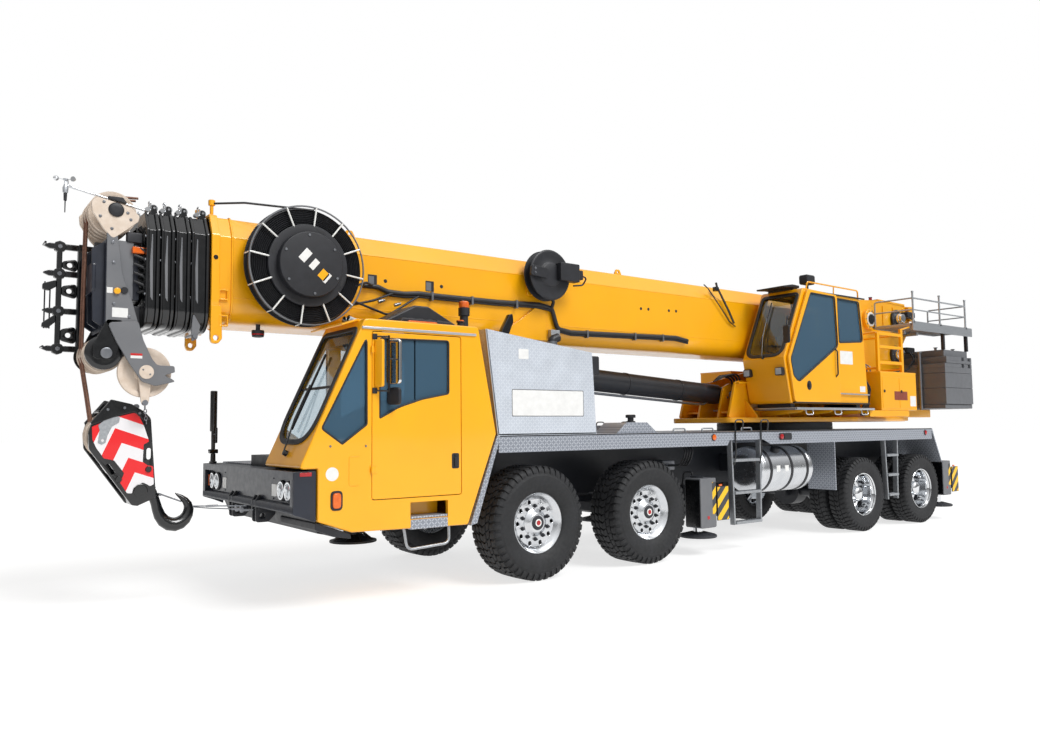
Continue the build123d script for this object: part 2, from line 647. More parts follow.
def windshield(depth, thick, mode=Mode.ADD):
    """The windshield's outline as a slab, its outer face depth millimetres inside the raked front."""
    foot = Vector(CAB_BROW[0], 0, CAB_BROW[1]) - rake_out * (depth + thick)
    wide = WINDSHIELD_Y[1] - WINDSHIELD_Y[0]
    tall = WINDSHIELD_RISE[1] - WINDSHIELD_RISE[0]
    with BuildSketch(Plane(origin=foot, x_dir=(0, 1, 0), z_dir=rake_out)) as pane:
        with Locations((sum(WINDSHIELD_Y) / 2, sum(WINDSHIELD_RISE) / 2)):
            Rectangle(wide, tall)
        fillet(pane.vertices().sort_by(Axis.Y)[:2], WINDSHIELD_CORNERS[0])
        fillet(pane.vertices().sort_by(Axis.Y)[-2:], WINDSHIELD_CORNERS[1])
    extrude(pane.sketch, amount=thick, mode=mode)


outer_cab_wall = (CAB_OUTER_Y - CAB_WALL - CUT, CAB_OUTER_Y + CUT)
inner_cab_wall = (CAB_INNER_Y - CUT, CAB_INNER_Y + CAB_WALL + CUT)

with BuildPart() as carrier_cab:
    side_prism(CAB_SIDE, (CAB_INNER_Y, CAB_OUTER_Y))
    side_prism(CAB_SIDE, (CAB_INNER_Y + CAB_WALL, CAB_OUTER_Y - CAB_WALL), mode=Mode.SUBTRACT, inset=CAB_WALL)
    side_prism(CAB_DOOR, outer_cab_wall, mode=Mode.SUBTRACT)
    for wall, windows in ((outer_cab_wall, (QUARTER_WINDOW,)), (inner_cab_wall, (QUARTER_WINDOW, DOOR_WINDOW))):
        for window in windows:
            side_prism(window, wall, mode=Mode.SUBTRACT)
    windshield(-WINDSHIELD_CUT, 2 * WINDSHIELD_CUT, mode=Mode.SUBTRACT)
    for z in HINGE_Z:
        knuckle_z = (z - HINGE_HALF, z - PIN_CLEARANCE)
        round_z(HINGE_X, HINGE_Y, HINGE_RADIUS, knuckle_z)
        block((HINGE_X, HINGE_X + HINGE_LEAF), (CAB_OUTER_Y - 5, HINGE_Y), knuckle_z)
    # Step well below the door, and the loop step that hangs under it
    well_y = (CAB_OUTER_Y - STEP_WELL_DEPTH, CAB_OUTER_Y)
    block(
        (STEP_WELL_X[0] - SHEET, STEP_WELL_X[1] + SHEET),
        (well_y[0] - SHEET, well_y[1] - SHEET),
        (STEP_WELL_Z[0] - SHEET, STEP_WELL_Z[1] + SHEET),
    )
    block(STEP_WELL_X, (well_y[0], well_y[1] + CUT), STEP_WELL_Z, mode=Mode.SUBTRACT)
    bent_bar([(x, LOOP_STEP_Y, z) for x, z in LOOP_STEP], LOOP_STEP_RADIUS)
    # Rain gutter, air conditioner and beacon
    block(GUTTER_X, (CAB_OUTER_Y - CUT, CAB_OUTER_Y + GUTTER_STANDS), GUTTER_Z)
    side_prism(ROOF_UNIT, ROOF_UNIT_Y)
    round_z(*CAB_BEACON[:3], (ROOF_UNIT[0][1], CAB_BEACON[3]))
save(carrier_cab, "carrier_cab")

with BuildPart() as carrier_cab_glass:
    inner_pane = (CAB_INNER_Y + SIDE_GLASS_DEPTH, CAB_INNER_Y + SIDE_GLASS_DEPTH + GLASS)
    outer_pane = (CAB_OUTER_Y - SIDE_GLASS_DEPTH - GLASS, CAB_OUTER_Y - SIDE_GLASS_DEPTH)
    side_prism(QUARTER_WINDOW, inner_pane)
    side_prism(QUARTER_WINDOW, outer_pane)
    side_prism(DOOR_WINDOW, inner_pane)
    windshield(GLASS_DEPTH, GLASS)
save(carrier_cab_glass, "carrier_cab_glass")

CAB_FLOOR_X = (3640, 4700)
SEAT_X = (3750, 4250)
SEAT_Y = (640, 1120)
SEAT_TOP = 1330
SEAT_BACK = ((3730, SEAT_TOP), (3640, 1980), (3740, 2000), (3860, SEAT_TOP))
DASH_X = (4700, 4960)
DASH_TOP = 1420
COLUMN_FOOT = (4700, 1380)
COLUMN_HEAD = (4560, 1480)
COLUMN_RADIUS = 22
STEERING_WHEEL = (210, 180)
SPOKE = (380, 40)
FLOOR_THICK = 30

with BuildPart() as carrier_cab_interior:
    inner = (CAB_INNER_Y + CAB_WALL, CAB_OUTER_Y - CAB_WALL)
    driver_y = sum(SEAT_Y) / 2
    block(CAB_FLOOR_X, inner, (CAB_FLOOR - FLOOR_THICK / 2, CAB_FLOOR))
    block(SEAT_X, SEAT_Y, (CAB_FLOOR, SEAT_TOP))
    side_prism(SEAT_BACK, (SEAT_Y[0] + 20, SEAT_Y[1] - 20))
    block(DASH_X, inner, (CAB_FLOOR - FLOOR_THICK / 2, DASH_TOP))
    head = (COLUMN_HEAD[0], driver_y, COLUMN_HEAD[1])
    bar((COLUMN_FOOT[0], driver_y, COLUMN_FOOT[1]), head, COLUMN_RADIUS)
    tilt = (COLUMN_HEAD[0] - COLUMN_FOOT[0], 0, COLUMN_HEAD[1] - COLUMN_FOOT[1])
    with BuildSketch(Plane(origin=head, z_dir=tilt)) as wheel_rim:
        Circle(STEERING_WHEEL[0])
        Circle(STEERING_WHEEL[1], mode=Mode.SUBTRACT)
        Rectangle(*SPOKE)
    extrude(wheel_rim.sketch, amount=COLUMN_RADIUS)
save(carrier_cab_interior, "carrier_cab_interior")

MIRROR_Y = (1360, 1400)
MIRRORS = (
    # low x, high x, low z, high z
    (4331, 4467, 1933, 2327),
    (4490, 4550, 1877, 2319),
    (4282, 4428, 1751, 1905),
)
MIRROR_STAY_X = 4448
MIRROR_STAY_Z = (1800, 2360)
MIRROR_ARM_X = 4500
MIRROR_ARM_RADIUS = 9
MIRROR_BRACES_Z = (1890, 2270)

with BuildPart() as carrier_cab_door:
    side_prism(CAB_DOOR, (CAB_OUTER_Y - CAB_WALL, CAB_OUTER_Y), inset=DOOR_GAP)
    side_prism(DOOR_WINDOW, outer_cab_wall, mode=Mode.SUBTRACT)
    for z in HINGE_Z:
        round_z(HINGE_X, HINGE_Y, HINGE_RADIUS, (z, z + HINGE_HALF))
        block((HINGE_X - HINGE_LEAF, HINGE_X), (CAB_OUTER_Y - 5, HINGE_Y), (z, z + HINGE_HALF))
        relief = (CAB_OUTER_Y - DOOR_GAP, CAB_OUTER_Y)
        block((HINGE_X - DOOR_GAP, HINGE_X + CUT), relief, (z, z + HINGE_HALF), mode=Mode.SUBTRACT)
    # Mirror arms and the mirrors, carried on the door
    stay_y = sum(MIRROR_Y) / 2
    for z in MIRROR_STAY_Z:
        bar((MIRROR_ARM_X, CAB_OUTER_Y - 10, z), (MIRROR_STAY_X, stay_y, z), MIRROR_ARM_RADIUS)
    round_z(MIRROR_STAY_X, stay_y, MIRROR_ARM_RADIUS + 1, (MIRROR_STAY_Z[0] - 10, MIRROR_STAY_Z[1] + 10))
    for low_x, high_x, low_z, high_z in MIRRORS:
        block((low_x, high_x), MIRROR_Y, (low_z, high_z))
    for z in MIRROR_BRACES_Z:
        bar((MIRROR_STAY_X - 40, stay_y, z), (MIRRORS[1][0] + 20, stay_y, z), MIRROR_ARM_RADIUS)
save(carrier_cab_door, "carrier_cab_door")


# Engine hood behind the cab, and the engine as one plain block in it
HOOD_SIDE = ((3340, 2490), (1980, 2320), (1934, DECK_TOP), (3205, DECK_TOP))
HOOD_SHEET = 20
ENGINE_X = (2050, 3080)
ENGINE_Y = (CAB_INNER_Y + 80, DECK_HALF_WIDTH - 100)
ENGINE_Z = (DECK_TOP + HOOD_SHEET, 2150)

with BuildPart() as engine_hood:
    side_prism(HOOD_SIDE, (CAB_INNER_Y, DECK_HALF_WIDTH))
    under_hood = (CAB_INNER_Y + HOOD_SHEET, DECK_HALF_WIDTH - HOOD_SHEET)
    side_prism(HOOD_SIDE, under_hood, mode=Mode.SUBTRACT, inset=HOOD_SHEET)
save(engine_hood, "engine_hood")

with BuildPart() as engine_block:
    block(ENGINE_X, ENGINE_Y, ENGINE_Z)
save(engine_block, "engine_block")


# Outriggers: on each corner a beam that slides out, and a jack with its float below
BEAM_INNER = JACK_BOX_OUTER - 45
BEAM_OUTER = HOUSING_REACH + 30
JACK_BOX_INNER = HOUSING_REACH + 10
JACK_BOX_HALF = {"front": 140, "rear": 125}
JACK_BOX_Z = {"front": (317, 907), "rear": (380, 930)}
JACK_CAP = (80, 22)
JACK_Y = JACK_BOX_INNER + 70
JACK_ROD_RADIUS = 60
ROD_BELOW_TOP = 40
BORE_BELOW_TOP = 20
FLOAT_PLATE = 36
FLOAT_BOSS = (FLOAT_RADIUS - 40, 60)

for end, low in BEAM_BOTTOM.items():
    for word, side in SIDES.items():
        x = LEFT_BEAM_X[end] if side > 0 else RIGHT_BEAM_X[end]
        y = side * JACK_Y
        bottom, top = JACK_BOX_Z[end]
        with BuildPart() as beam:
            block(around(x, BEAM_WIDTH / 2), sided(-BEAM_INNER, BEAM_OUTER, side), (low, low + BEAM_HEIGHT))
            block(around(x, JACK_BOX_HALF[end]), sided(JACK_BOX_INNER, JACK_BOX_OUTER, side), (bottom, top))
            round_z(x, y, JACK_CAP[0], (top - CUT, top + JACK_CAP[1]))
            bore = (bottom - CUT, top - BORE_BELOW_TOP)
            round_z(x, y, JACK_ROD_RADIUS + PIN_CLEARANCE, bore, mode=Mode.SUBTRACT)
        save(beam, f"outrigger_beam_{end}_{word}")
        with BuildPart() as jack:
            round_z(x, y, JACK_ROD_RADIUS, (FLOAT_BOTTOM + FLOAT_PLATE, top - ROD_BELOW_TOP))
            round_z(x, y, FLOAT_BOSS[0], (FLOAT_BOTTOM + FLOAT_PLATE - CUT, FLOAT_BOTTOM + FLOAT_BOSS[1]))
            round_z(x, y, FLOAT_RADIUS, (FLOAT_BOTTOM, FLOAT_BOTTOM + FLOAT_PLATE))
        save(jack, f"outrigger_jack_{end}_{word}")


# Turntable: the slewing floor, the two side plates that carry the boom, and the lift cylinder's foot
SIDE_PLATE = (
    (-1250, 1640), (-1420, 2150), (-1900, 2180), (-3700, 2560), (-4350, 3380),
    (-4600, 3560), (-5200, 3600), (-6180, 3560), (-6180, 3180), (-5830, 2780), (-5830, 1640),
)
CYLINDER_LUG_Y = (160, 200)
CYLINDER_PIN_RADIUS = 55
PIVOT_BOSS_RADIUS = 170
PIVOT_BOSS_STANDS = 60
TABLE_TOP = RING_TOP + TABLE_PLATE
PLATE_Y = (SIDE_PLATE_Y, SIDE_PLATE_Y + SIDE_PLATE_THICK)
TABLE_REAR = -5830
TABLE_FLOOR = ((TABLE_REAR, 520), (-3700, 900), (-1900, 760), (-1180, 520))
CYLINDER_FOOT = ((-1350, TABLE_TOP - 5), (-1480, 2080), (-1640, 2140), (-1800, 2080), (-2100, TABLE_TOP - 5))
TAIL_BOX_X = (TABLE_REAR, -3800)
TAIL_BOX_OUTER = 540
TAIL_BOX_TOP = 1800
REAR_WALL_X = (TABLE_REAR, -5790)
REAR_WALL_TOP = 2400
FRONT_WALL_X = (-2300, -2260)
FRONT_WALL_TOP = 1900
FOOT_SHELF_X = (-1900, -1400)
FOOT_SHELF_Z = (1700, 1730)
CATWALK_X = (-3620, -1670)
CATWALK_OUTER = CRANE_CAB_OUTER_Y + 30
CATWALK_Z = (1735, 1765)
CATWALK_ARMS_X = (-3400, -2700, -2000)
ARM_WIDTH = 60
ARM_BOTTOM = 1660
SILL_X = (-4670, -3560)
SILL_Y = (1100, CRANE_CAB_OUTER_Y - 10)
TAIL_BEAM_Y = (300, 420)
TAIL_BEAM_X = (-6850, TABLE_REAR)
TAIL_BEAM_TOP = 1775
TAIL_KNEE_X = (-6000, -5700)
TAIL_KNEE_Z = (1580, TABLE_TOP + 5)

with BuildPart() as turntable:
    ring = (RING_SPLIT + RING_GAP, RING_TOP)
    round_z(SLEW_X, 0, RING_RADIUS, ring)
    round_z(SLEW_X, 0, RING_INNER, ring, mode=Mode.SUBTRACT)
    other_side = tuple((x, -y) for x, y in TABLE_FLOOR)
    plan_prism((*other_side, *TABLE_FLOOR[::-1]), (RING_TOP, TABLE_TOP))
    for side in SIDES.values():
        side_prism(SIDE_PLATE, sided(*PLATE_Y, side))
        boss = sided(PLATE_Y[0], PLATE_Y[1] + PIVOT_BOSS_STANDS, side)
        round_y(BOOM_PIVOT_X, BOOM_PIVOT_Z, PIVOT_BOSS_RADIUS, boss)
        side_prism(CYLINDER_FOOT, sided(*CYLINDER_LUG_Y, side))
        block(TAIL_BOX_X, sided(PLATE_Y[1], TAIL_BOX_OUTER, side), (TABLE_TOP - 5, TAIL_BOX_TOP))
        block(FOOT_SHELF_X, sided(CYLINDER_LUG_Y[1], SIDE_PLATE_Y, side), FOOT_SHELF_Z)
    between = around(0, SIDE_PLATE_Y)
    block(REAR_WALL_X, between, (TABLE_TOP, REAR_WALL_TOP))
    block(FRONT_WALL_X, between, (TABLE_TOP, FRONT_WALL_TOP))
    # Catwalk under the crane cab and its brackets, and the sill under the cabinet
    block(CATWALK_X, (PLATE_Y[1], CATWALK_OUTER), CATWALK_Z)
    block((CATWALK_X[1] - 35, CATWALK_X[1]), (-300, PLATE_Y[1]), CATWALK_Z)
    for x in CATWALK_ARMS_X:
        block((x, x + ARM_WIDTH), (PLATE_Y[1], CATWALK_OUTER - 80), (ARM_BOTTOM, CATWALK_Z[0]))
    block(SILL_X, SILL_Y, (TABLE_TOP, CATWALK_Z[0]))
    block((CATWALK_X[0], CATWALK_X[0] + ARM_WIDTH), (PLATE_Y[1], SILL_Y[1]), (TABLE_TOP, CATWALK_Z[0]))
    for side in SIDES.values():
        pin = sided(SIDE_PLATE_Y - 60, PLATE_Y[1] + 20, side)
        round_y(BOOM_PIVOT_X, BOOM_PIVOT_Z, BOOM_PIN_RADIUS, pin)
        round_y(CYLINDER_FOOT_X, CYLINDER_FOOT_Z, CYLINDER_PIN_RADIUS, sided(0, CYLINDER_LUG_Y[1] + 20, side))
    # Tail beams under the counterweight
    for side in SIDES.values():
        block(TAIL_BEAM_X, sided(*TAIL_BEAM_Y, side), (TABLE_TOP, TAIL_BEAM_TOP))
        block(TAIL_KNEE_X, sided(TAIL_BEAM_Y[0], PLATE_Y[1], side), TAIL_KNEE_Z)
save(turntable, "turntable")


# Counterweight: slabs stacked on the tail beams
SLABS = (
    # bottom z, top z, front x, half width
    (1775, 1845, -5840, 1180),
    (1845, 2115, -5840, 1200),
    (2115, 2365, -5840, 1200),
    (2365, 2525, -5840, 1200),
    (2525, 2640, -5900, 1200),
    (2640, 2755, -5960, 1130),
)
COUNTERWEIGHT_REAR = -6930
SLAB_CORNER = 160
SLAB_SEAM = 2
SLAB_KEY_X = (-6500, -6300)
SLAB_KEY_HALF = 300

with BuildPart() as counterweight:
    for bottom, top, front_x, half in SLABS:
        slab = (
            (COUNTERWEIGHT_REAR, -half + SLAB_CORNER), (COUNTERWEIGHT_REAR + SLAB_CORNER, -half), (front_x, -half),
            (front_x, half), (COUNTERWEIGHT_REAR + SLAB_CORNER, half), (COUNTERWEIGHT_REAR, half - SLAB_CORNER),
        )
        plan_prism(slab, (bottom + SLAB_SEAM, top))
        block(SLAB_KEY_X, around(0, SLAB_KEY_HALF), (bottom, bottom + SLAB_SEAM + CUT))
save(counterweight, "counterweight")


# Cabinets beside the side plates, with the ladder up to the platform on the left one
CABINET_X = (-4910, -3880)
CABINET_Y = (560, CRANE_CAB_OUTER_Y - 10)
CABINET_Z = (CATWALK_Z[0] + 1, 2315)
POWER_BOX_X = (-5200, -2600)
POWER_BOX_Z = (1740, 2380)
CABINET_ARM_Z = (1810, 1900)
YELLOW_LADDER_X = (-4640, -3900)
YELLOW_LADDER_Y = (1110, 1150)
YELLOW_RAIL = 60
YELLOW_RUNGS_Z = (2440, 2680, 2880)
YELLOW_RUNG = 45
PLATFORM_BOTTOM = 3010

with BuildPart() as side_cabinets:
    block(CABINET_X, CABINET_Y, CABINET_Z)
    block(CABINET_X, (PLATE_Y[1], CABINET_Y[0]), CABINET_ARM_Z)
    block(POWER_BOX_X, (-CABINET_Y[1], -CABINET_Y[0]), POWER_BOX_Z)
    block(POWER_BOX_X, (-CABINET_Y[0], -PLATE_Y[1]), CABINET_ARM_Z)
    for x, top in ((YELLOW_LADDER_X[0], PLATFORM_BOTTOM - 2 * CUT), (YELLOW_LADDER_X[1] - YELLOW_RAIL, YELLOW_RUNGS_Z[-1] + YELLOW_RUNG)):
        block((x, x + YELLOW_RAIL), YELLOW_LADDER_Y, (CABINET_Z[1] - CUT, top))
    for z in YELLOW_RUNGS_Z:
        block(YELLOW_LADDER_X, YELLOW_LADDER_Y, (z, z + YELLOW_RUNG))
save(side_cabinets, "side_cabinets")


# Platform over the counterweight, with its side panel, posts and rails
PLATFORM_X = (-6870, -4905)
PLATFORM_Y = (PLATE_Y[1] + 60, CRANE_CAB_OUTER_Y - 10)
PLATFORM_FLOOR_Z = (3080, 3120)
PANEL_THICK = 30
PANEL_TOP = 3155
POSTS_X = (-6670, -5790, -4940)
POST_Z = 3640
POST_HALF = 16
RAIL_Z = (3340, 3525)
RAIL_HALF = 12
PLATFORM_ARMS_X = (-5600, -6000)
PLATFORM_LEGS_X = (-6800, -6000)
LEG_Y = (PLATFORM_Y[1] - 90, PLATFORM_Y[1] - 40)

with BuildPart() as rear_platform:
    block(PLATFORM_X, PLATFORM_Y, PLATFORM_FLOOR_Z)
    block(PLATFORM_X, (PLATFORM_Y[1] - PANEL_THICK, PLATFORM_Y[1]), (PLATFORM_BOTTOM, PANEL_TOP))
    for x in PLATFORM_ARMS_X:
        block((x, x + ARM_WIDTH), (PLATE_Y[1], PLATFORM_Y[0] + 180), (PLATFORM_FLOOR_Z[0] - 50, PLATFORM_FLOOR_Z[0]))
    outer_y = PLATFORM_Y[1] - PANEL_THICK / 2
    inner_y = PLATFORM_Y[0] + POST_HALF
    for x in POSTS_X:
        block(around(x, POST_HALF), around(outer_y, POST_HALF), (PANEL_TOP - PANEL_THICK, POST_Z))
    for x in (POSTS_X[0], POSTS_X[-1]):
        block(around(x, POST_HALF), around(inner_y, POST_HALF), (PLATFORM_FLOOR_Z[1] - CUT, RAIL_Z[1]))
        for z in RAIL_Z:
            block(around(x, RAIL_HALF), (inner_y, outer_y), around(z - RAIL_HALF, RAIL_HALF))
    for z in RAIL_Z:
        block((POSTS_X[0], POSTS_X[-1]), around(outer_y, RAIL_HALF), around(z - RAIL_HALF, RAIL_HALF))
    for x in PLATFORM_LEGS_X:
        block((x, x + 50), LEG_Y, (SLABS[-1][1], PLATFORM_FLOOR_Z[0]))
save(rear_platform, "rear_platform")


# Winches: two drums between cheeks behind the boom's foot
DRUMS = ((-5600, 3280), (-5600, 2690))
DRUM_RADIUS = 160
DRUM_HALF = 330
CHEEK_RADIUS = 215
CHEEK_THICK = 30
WINCH_SHAFT_RADIUS = 60

with BuildPart() as winches:
    for x, z in DRUMS:
        round_y(x, z, DRUM_RADIUS, around(0, DRUM_HALF))
        for y in (-DRUM_HALF, DRUM_HALF - CHEEK_THICK):
            round_y(x, z, CHEEK_RADIUS, (y, y + CHEEK_THICK))
        round_y(x, z, WINCH_SHAFT_RADIUS, around(0, SIDE_PLATE_Y))
save(winches, "winches")


# Crane cab: a hollow shell on the left of the turntable, its front and sides glazed
CRANE_CAB_SIDE = ((-3580, 1821), (-1680, 1821), (-1550, 2436), (-2030, 3420), (-3470, 3378))
FIXED_WALL_Y = CRANE_CAB_OUTER_Y - 40
SLIDING_DOOR = ((-2800, 1840), (-1720, 1840), (-1600, 2436), (-2085, 3395), (-2790, 3375))
FRONT_SIDE_WINDOW = ((-2150, 3352), (-2730, 3344), (-2770, 2638), (-1810, 2106), (-1700, 2200), (-1650, 2420))
REAR_SIDE_WINDOW = ((-2840, 3338), (-3410, 3330), (-3480, 2742), (-2870, 2700))
DOOR_HOLE = ((-2740, 1880), (-1790, 1880), (-1660, 2436), (-2120, 3340), (-2740, 3330))
CRANE_FRONT_Z = (2480, 3330)
CRANE_FRONT_EDGE = 60
CRANE_FEET_X = (-3450, -1850)
CRANE_FOOT_LENGTH = 100
CRANE_FEET_Y = (560, 1100)
LAMP_BOX_X = (-2400, -2200)
LAMP_BOX_Y = (930, 1080)
LAMP_BOX_Z = (3395, 3600)
RUNNER_X = (-3560, -1720)
DOOR_STANDS = 5


def crane_front_x(z):
    """Where the crane cab's raked upper front stands at height z."""
    (knee_x, knee_z), (brow_x, brow_z) = CRANE_CAB_SIDE[2:4]
    return knee_x + (brow_x - knee_x) * (z - knee_z) / (brow_z - knee_z)


def crane_front(near, far):
    """A slice of the raked front between two distances ahead of its outer face."""
    low, high = CRANE_FRONT_Z
    at_low, at_high = crane_front_x(low), crane_front_x(high)
    return ((at_low + far, low), (at_high + far, high), (at_high + near, high), (at_low + near, low))


crane_front_y = (CRANE_CAB_INNER_Y + CRANE_FRONT_EDGE, FIXED_WALL_Y - CRANE_FRONT_EDGE)
outer_crane_wall = (FIXED_WALL_Y - CAB_WALL - CUT, FIXED_WALL_Y + CUT)
inner_crane_wall = (CRANE_CAB_INNER_Y - CUT, CRANE_CAB_INNER_Y + CAB_WALL + CUT)

with BuildPart() as crane_cab:
    side_prism(CRANE_CAB_SIDE, (CRANE_CAB_INNER_Y, FIXED_WALL_Y))
    hollow = (CRANE_CAB_INNER_Y + CAB_WALL, FIXED_WALL_Y - CAB_WALL)
    side_prism(CRANE_CAB_SIDE, hollow, mode=Mode.SUBTRACT, inset=CAB_WALL)
    for wall, openings in ((outer_crane_wall, (DOOR_HOLE, REAR_SIDE_WINDOW)), (inner_crane_wall, (REAR_SIDE_WINDOW, FRONT_SIDE_WINDOW))):
        for opening in openings:
            side_prism(opening, wall, mode=Mode.SUBTRACT)
    side_prism(crane_front(-CRANE_FRONT_EDGE, CRANE_FRONT_EDGE), crane_front_y, mode=Mode.SUBTRACT)
    # Feet down to the catwalk, lamp box and the door's runner
    for x in CRANE_FEET_X:
        block((x, x + CRANE_FOOT_LENGTH), CRANE_FEET_Y, (CATWALK_Z[1], CRANE_CAB_SIDE[0][1] + CUT))
    block(LAMP_BOX_X, LAMP_BOX_Y, LAMP_BOX_Z)
    runner = (CRANE_CAB_SIDE[0][1] + CUT, SLIDING_DOOR[0][1] - PIN_CLEARANCE)
    block(RUNNER_X, (FIXED_WALL_Y - 10, CRANE_CAB_OUTER_Y), runner)
save(crane_cab, "crane_cab")

with BuildPart() as crane_cab_glass:
    crane_inner_pane = (CRANE_CAB_INNER_Y + SIDE_GLASS_DEPTH, CRANE_CAB_INNER_Y + SIDE_GLASS_DEPTH + GLASS)
    side_prism(REAR_SIDE_WINDOW, (FIXED_WALL_Y - SIDE_GLASS_DEPTH - GLASS, FIXED_WALL_Y - SIDE_GLASS_DEPTH))
    side_prism(REAR_SIDE_WINDOW, crane_inner_pane)
    side_prism(FRONT_SIDE_WINDOW, crane_inner_pane)
    side_prism(crane_front(-GLASS_DEPTH - GLASS, -GLASS_DEPTH), crane_front_y)
save(crane_cab_glass, "crane_cab_glass")

CRANE_FLOOR_X = (-3200, -1900)
CRANE_FLOOR_Z = (1861, 1880)
CRANE_SEAT_X = (-3150, -2600)
CRANE_SEAT_Y = (620, 1020)
CRANE_SEAT_TOP = 2260
CRANE_SEAT_BACK = ((-3160, CRANE_SEAT_TOP), (-3280, 2950), (-3160, 2960), (-3000, CRANE_SEAT_TOP))
CONSOLE_X = (-2950, -2450)
CONSOLES_Y = (560, 1035)
CONSOLE_WIDTH = 55
CONSOLE_TOP = 2420
PEDALS_X = (-2000, -1850)
PEDALS_TOP = 2150

with BuildPart() as crane_cab_interior:
    block(CRANE_FLOOR_X, hollow, CRANE_FLOOR_Z)
    block(CRANE_SEAT_X, CRANE_SEAT_Y, (CRANE_FLOOR_Z[1], CRANE_SEAT_TOP))
    side_prism(CRANE_SEAT_BACK, (CRANE_SEAT_Y[0] + 20, CRANE_SEAT_Y[1] - 20))
    for y in CONSOLES_Y:
        block(CONSOLE_X, (y, y + CONSOLE_WIDTH), (CRANE_FLOOR_Z[1], CONSOLE_TOP))
    block(PEDALS_X, CRANE_SEAT_Y, (CRANE_FLOOR_Z[1], PEDALS_TOP))
save(crane_cab_interior, "crane_cab_interior")

with BuildPart() as crane_cab_door:
    side_prism(SLIDING_DOOR, (FIXED_WALL_Y + DOOR_STANDS, CRANE_CAB_OUTER_Y))
    side_prism(FRONT_SIDE_WINDOW, (FIXED_WALL_Y, CRANE_CAB_OUTER_Y + CUT), mode=Mode.SUBTRACT)
save(crane_cab_door, "crane_cab_door")


# Boom: sections of one outline, each a step smaller than the one it slides in
BOOM_SHOULDER = (100, 190)
BOOM_BELLY_RADIUS = 200
PAD_GAP = 0.5
PAD_X = (90, 10)
SIDE_PAD_Z = (2850, 3150)
PAD_HALF = 120


def boom_outline(inset, plane):
    """The boom's cross-section, drawn inset millimetres inside the base section's outline."""
    half = BOOM_HALF_WIDTH - inset
    top = BOOM_TOP - inset
    bottom = BOOM_BOTTOM + inset
    in_from_side, down_from_top = BOOM_SHOULDER
    with BuildSketch(plane) as outline:
        Polygon(
            (-half, bottom), (half, bottom), (half, top - down_from_top), (half - in_from_side, top),
            (-half + in_from_side, top), (-half, top - down_from_top), align=None,
        )
        fillet(outline.vertices().sort_by(Axis.Y)[:2], BOOM_BELLY_RADIUS)
    return outline.sketch


def boom_tube(inset, rear, front, mode=Mode.ADD):
    """A stretch of the boom's cross-section."""
    extrude(boom_outline(inset, Plane.YZ.offset(rear)), amount=front - rear, mode=mode)


def wear_pads(inset, front):
    """Pads at a section's mouth that the next section slides on."""
    wall = inset + SECTION_WALL
    inner = inset + SECTION_STEP - PAD_GAP
    x = (front - PAD_X[0], front - PAD_X[1])
    for side in SIDES.values():
        block(x, sided(BOOM_HALF_WIDTH - inner, BOOM_HALF_WIDTH - wall, side), SIDE_PAD_Z)
    block(x, around(0, PAD_HALF), (BOOM_BOTTOM + wall, BOOM_BOTTOM + inner))
    block(x, around(0, PAD_HALF), (BOOM_TOP - inner, BOOM_TOP - wall))


LUFF_EYE_HALF = 105
LUFF_EAR_Y = (LUFF_EYE_HALF + 15, LUFF_EYE_HALF + 65)
LUFF_EAR_X = (-210, -110, 110, 450)
LUFF_EAR_DROP = 110
LUFF_PIN_RADIUS = 50
FLANGE_STANDS = 22
FLANGE_LENGTH = 70
FRONT_LUG = ((5600, 2620), (5590, 2330), (5620, 2300), (5690, 2300), (5690, 2620))
FRONT_LUG_Y = (380, 422)
FRONT_LUG_HOLE = (5640, 2345, 18)
TAIL_CUT = ((BOOM_TAIL - 10, BOOM_BOTTOM - 40), (BOOM_TAIL - 10, 2980), (-4500, BOOM_BOTTOM - 40))
BASE_BORE_REAR = BOOM_TAIL + 400

with BuildPart() as boom_base:
    boom_tube(0, BOOM_TAIL, BOOM_FRONT)
    # Front flange and its two lugs
    extrude(boom_outline(-FLANGE_STANDS, Plane.YZ.offset(BOOM_FRONT - FLANGE_LENGTH)), amount=FLANGE_LENGTH)
    for side in SIDES.values():
        side_prism(FRONT_LUG, sided(*FRONT_LUG_Y, side))
        hole = sided(FRONT_LUG_Y[0] - 10, FRONT_LUG_Y[1] + 10, side)
        round_y(*FRONT_LUG_HOLE, hole, mode=Mode.SUBTRACT)
    # Bracket for the lift cylinder's eye
    ear_top, ear_foot = BOOM_BOTTOM + 5, CYLINDER_EYE_Z - LUFF_EAR_DROP
    ear_x = [CYLINDER_EYE_X + shift for shift in LUFF_EAR_X]
    ear = ((ear_x[0], ear_top), (ear_x[1], ear_foot), (ear_x[2], ear_foot), (ear_x[3], ear_top))
    for side in SIDES.values():
        side_prism(ear, sided(*LUFF_EAR_Y, side))
    boom_tube(SECTION_WALL, BASE_BORE_REAR, BOOM_FRONT, mode=Mode.SUBTRACT)
    wear_pads(0, BOOM_FRONT)
    # The tail is a solid foot round the pivot's bore; its lower corner is cut away
    across = around(0, BOOM_HALF_WIDTH + 50)
    side_prism(TAIL_CUT, across, mode=Mode.SUBTRACT)
    round_y(BOOM_PIVOT_X, BOOM_PIVOT_Z, BOOM_PIN_RADIUS + PIN_CLEARANCE, across, mode=Mode.SUBTRACT)
    for side in SIDES.values():
        round_y(CYLINDER_EYE_X, CYLINDER_EYE_Z, LUFF_PIN_RADIUS, sided(-10, LUFF_EAR_Y[1] + 15, side))
save(boom_base, "boom_base")

